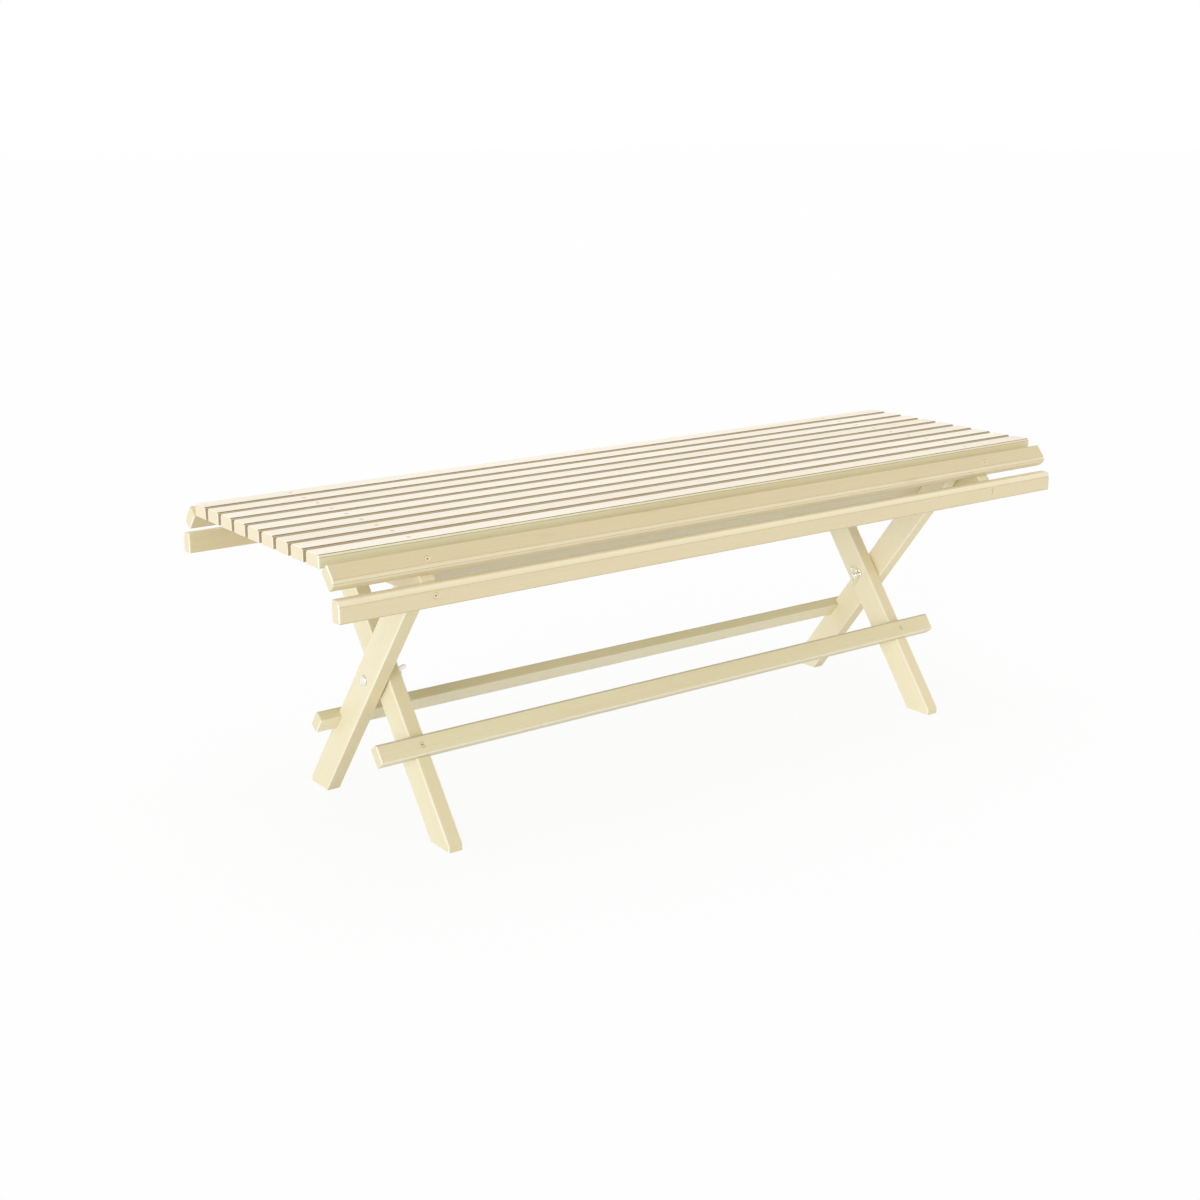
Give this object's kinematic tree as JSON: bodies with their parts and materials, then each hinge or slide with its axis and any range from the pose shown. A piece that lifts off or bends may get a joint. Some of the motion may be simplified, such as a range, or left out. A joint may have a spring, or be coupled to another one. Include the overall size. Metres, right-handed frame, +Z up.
{
  "type": "folding slatted bench",
  "caption": "Long folding bench with a slatted wooden seat on two crossed leg frames that scissor about bolts with wing nuts.",
  "frame": {"origin": "on the floor under the middle of the seat", "axes": "+X along the seat to its right end, +Y to the rear, away from the side a sitter's legs hang over, +Z up"},
  "size_m": [1.35, 0.47, 0.458],
  "materials": {
    "slat_paint": "pale cream semi-matt paint brushed on planed softwood",
    "board_paint": "pale cream semi-matt paint brushed on planed softwood",
    "batten_paint": "pale cream semi-matt paint brushed on planed softwood",
    "leg_paint": "pale cream semi-matt paint brushed on planed softwood",
    "screw_zinc": "zinc-plated steel, countersunk and painted over",
    "bolt_zinc": "bright zinc-plated steel"
  },
  "bodies": {
    "outer_frame": {"outer_leg_left": "leg_paint", "outer_leg_right": "leg_paint", "outer_stretcher": "board_paint", "outer_crossbar": "board_paint", "outer_stretcher_screw_left": "screw_zinc", "outer_stretcher_screw_right": "screw_zinc", "outer_crossbar_screw_left": "screw_zinc", "outer_crossbar_screw_right": "screw_zinc", "pivot_bolt_left": "bolt_zinc", "pivot_washer_left": "bolt_zinc", "wing_nut_washer_left": "bolt_zinc", "pivot_bolt_right": "bolt_zinc", "pivot_washer_right": "bolt_zinc", "wing_nut_washer_right": "bolt_zinc"},
    "seat": {"seat_slat_1": "slat_paint", "seat_slat_2": "slat_paint", "seat_slat_3": "slat_paint", "seat_slat_4": "slat_paint", "seat_slat_5": "slat_paint", "seat_slat_6": "slat_paint", "seat_slat_7": "slat_paint", "seat_slat_8": "slat_paint", "seat_slat_9": "slat_paint", "front_edge_slat": "board_paint", "rear_edge_slat": "board_paint", "front_rail": "board_paint", "rear_rail": "board_paint", "front_edge_slat_screw_left": "screw_zinc", "front_edge_slat_screw_right": "screw_zinc", "front_rail_screw_left": "screw_zinc", "front_rail_screw_right": "screw_zinc", "rear_edge_slat_screw_left": "screw_zinc", "rear_edge_slat_screw_right": "screw_zinc", "rear_rail_screw_left": "screw_zinc", "rear_rail_screw_right": "screw_zinc", "batten_left": "batten_paint", "batten_right": "batten_paint", "hinge_bolt_left": "bolt_zinc", "hinge_spacer_left": "bolt_zinc", "hinge_washer_left": "bolt_zinc", "hinge_nut_left": "bolt_zinc", "hinge_bolt_right": "bolt_zinc", "hinge_spacer_right": "bolt_zinc", "hinge_washer_right": "bolt_zinc", "hinge_nut_right": "bolt_zinc"},
    "inner_frame": {"inner_leg_left": "leg_paint", "inner_leg_right": "leg_paint", "inner_stretcher": "board_paint", "inner_crossbar": "board_paint", "inner_stretcher_screw_left": "screw_zinc", "inner_stretcher_screw_right": "screw_zinc", "inner_crossbar_screw_left": "screw_zinc", "inner_crossbar_screw_right": "screw_zinc"},
    "wing_nut_left": {"wing_nut_left": "bolt_zinc"},
    "wing_nut_right": {"wing_nut_right": "bolt_zinc"}
  },
  "joints": [
    {"name": "seat_lift", "type": "hinge", "parent": "outer_frame", "child": "seat", "pos_m": [0, -0.1534, 0.4155], "axis": [1, 0, 0], "range_deg": [0, 75]},
    {"name": "leg_scissor", "type": "hinge", "parent": "outer_frame", "child": "inner_frame", "pos_m": [0, 0, 0.211], "axis": [1, 0, 0], "range_deg": [0, 49.5]},
    {"name": "wing_nut_left_spin", "type": "hinge", "parent": "outer_frame", "child": "wing_nut_left", "pos_m": [-0.463, 0, 0.211], "axis": [1, 0, 0], "continuous": true},
    {"name": "wing_nut_right_spin", "type": "hinge", "parent": "outer_frame", "child": "wing_nut_right", "pos_m": [0.463, 0, 0.211], "axis": [1, 0, 0], "continuous": true}
  ],
  "couplings": [
    {"joint": "leg_scissor", "follows": "seat_lift", "ratio": 0.66}
  ]
}
